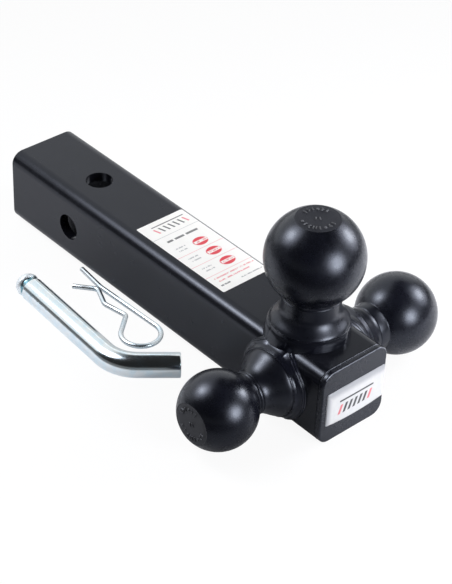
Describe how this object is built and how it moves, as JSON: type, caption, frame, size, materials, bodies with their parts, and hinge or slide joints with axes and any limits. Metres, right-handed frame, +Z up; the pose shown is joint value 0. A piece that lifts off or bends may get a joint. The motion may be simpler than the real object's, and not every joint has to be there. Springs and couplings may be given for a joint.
{
  "type": "trailer hitch with ball",
  "caption": "Receiver-mounted towing shank: square steel tube with a capped end carrying forged tow balls of different sizes, with a bent hitch pin and spring clip beside it.",
  "frame": {"origin": "where the axes of the two crossing pin holes meet on the shank centreline", "axes": "+X forward along the shank to the balls and the end cap, +Z up with the large ball on top, +Y to the side of the medium ball"},
  "size_m": [0.2938, 0.185, 0.1272],
  "materials": {
    "shank_paint": "satin black powder coat",
    "ball_paint": "semi-gloss black coat on smooth forged steel",
    "weld_paint": "semi-gloss black coat on rippled weld metal",
    "label_film": "white printed film",
    "badge": "clear domed resin over a silver print",
    "zinc_pin": "bright zinc plate",
    "zinc_wire": "bright zinc plate"
  },
  "bodies": {
    "shank": {"shank_tube": "shank_paint", "end_cap": "shank_paint", "cap_weld": "weld_paint", "ball_large": "ball_paint", "ball_medium": "ball_paint", "ball_small": "ball_paint", "weld_large": "weld_paint", "weld_medium": "weld_paint", "weld_small": "weld_paint", "shank_label": "label_film", "front_label": "badge"},
    "pin": {"hitch_pin": "zinc_pin"},
    "clip": {"r_clip": "zinc_wire"}
  },
  "joints": [
    {"name": "pin_lift", "type": "slide", "parent": "shank", "child": "pin", "axis": [0, 0, 1], "range_m": [0, 0.12]},
    {"name": "clip_lift", "type": "slide", "parent": "shank", "child": "clip", "axis": [0, -0.1961, 0.9806], "range_m": [0, 0.08]}
  ]
}
